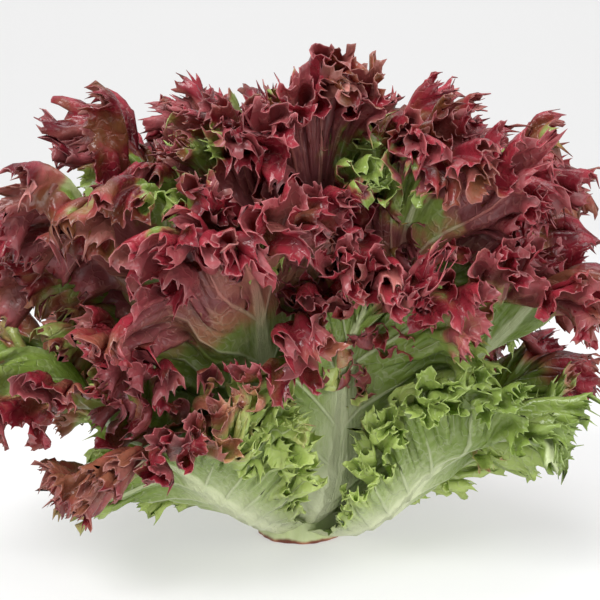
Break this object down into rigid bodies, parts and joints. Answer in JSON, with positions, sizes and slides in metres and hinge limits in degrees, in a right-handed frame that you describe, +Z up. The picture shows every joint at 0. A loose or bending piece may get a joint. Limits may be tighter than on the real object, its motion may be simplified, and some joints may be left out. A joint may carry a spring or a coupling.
{
  "type": "red leaf lettuce",
  "caption": "Head of red leaf lettuce standing on its cut stem, with a spiral of thick-ribbed, frilled leaves that run from pale green to dark red.",
  "frame": {"origin": "middle of the stem's cut face, on which the head stands", "axes": "+Z up along the stem, -Y towards the side that the picture shows, +X to the right in that view"},
  "size_m": [0.277, 0.2525, 0.1972],
  "materials": {
    "stem": "pale green fresh stem with a reddish-brown cut face",
    "leaf": "fresh leaf, waxy and slightly glossy, pale green at the rib and dark red at the frilled edge"
  },
  "bodies": {
    "root": {"stem": "stem", "leaf_01": "leaf", "leaf_02": "leaf", "leaf_03": "leaf", "leaf_04": "leaf", "leaf_05": "leaf", "leaf_06": "leaf", "leaf_07": "leaf", "leaf_08": "leaf", "leaf_09": "leaf", "leaf_10": "leaf", "leaf_11": "leaf", "leaf_12": "leaf", "leaf_13": "leaf", "leaf_14": "leaf", "leaf_15": "leaf", "leaf_16": "leaf", "leaf_17": "leaf", "leaf_18": "leaf", "leaf_19": "leaf", "leaf_20": "leaf", "leaf_21": "leaf", "leaf_22": "leaf", "leaf_23": "leaf", "leaf_24": "leaf", "leaf_25": "leaf", "leaf_26": "leaf", "leaf_27": "leaf", "leaf_28": "leaf", "leaf_29": "leaf", "leaf_30": "leaf", "leaf_31": "leaf", "leaf_32": "leaf"}
  },
  "joints": []
}
